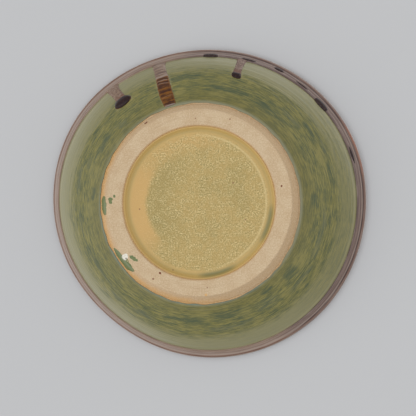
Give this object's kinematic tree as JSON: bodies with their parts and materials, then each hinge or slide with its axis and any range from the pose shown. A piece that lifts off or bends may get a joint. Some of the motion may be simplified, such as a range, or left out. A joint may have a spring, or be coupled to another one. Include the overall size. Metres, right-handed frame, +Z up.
{
  "type": "ceramic serving plate",
  "caption": "Round thrown ceramic plate with curved wall, flared lip and foot ring; green glaze, brown rim with runs, bare clay foot.",
  "frame": {"origin": "centre of the foot ring's resting face, on the wheel's axis", "axes": "+Z up along the wheel's axis, from the foot to the lip; +X is the picture's right and +Y its down, so the glaze runs are on the -Y side"},
  "size_m": [0.2, 0.2, 0.044],
  "materials": {
    "clay": "bare fired clay, matte and finely gritty",
    "green_glaze": "glossy brushed green glaze",
    "brown_glaze": "glossy brown glaze, amber where thick",
    "well_glaze": "crinkled yellow-green glaze",
    "crumb": "matte white clay"
  },
  "bodies": {
    "root": {"clay_body": "clay", "foot_ring": "clay", "outside_glaze": "green_glaze", "inside_glaze": "green_glaze", "rim_glaze": "brown_glaze", "well_glaze": "well_glaze", "long_run": "brown_glaze", "bulb_run": "brown_glaze", "short_run": "brown_glaze", "rim_beads": "brown_glaze", "foot_splashes": "green_glaze", "clay_crumb": "crumb"}
  },
  "joints": []
}
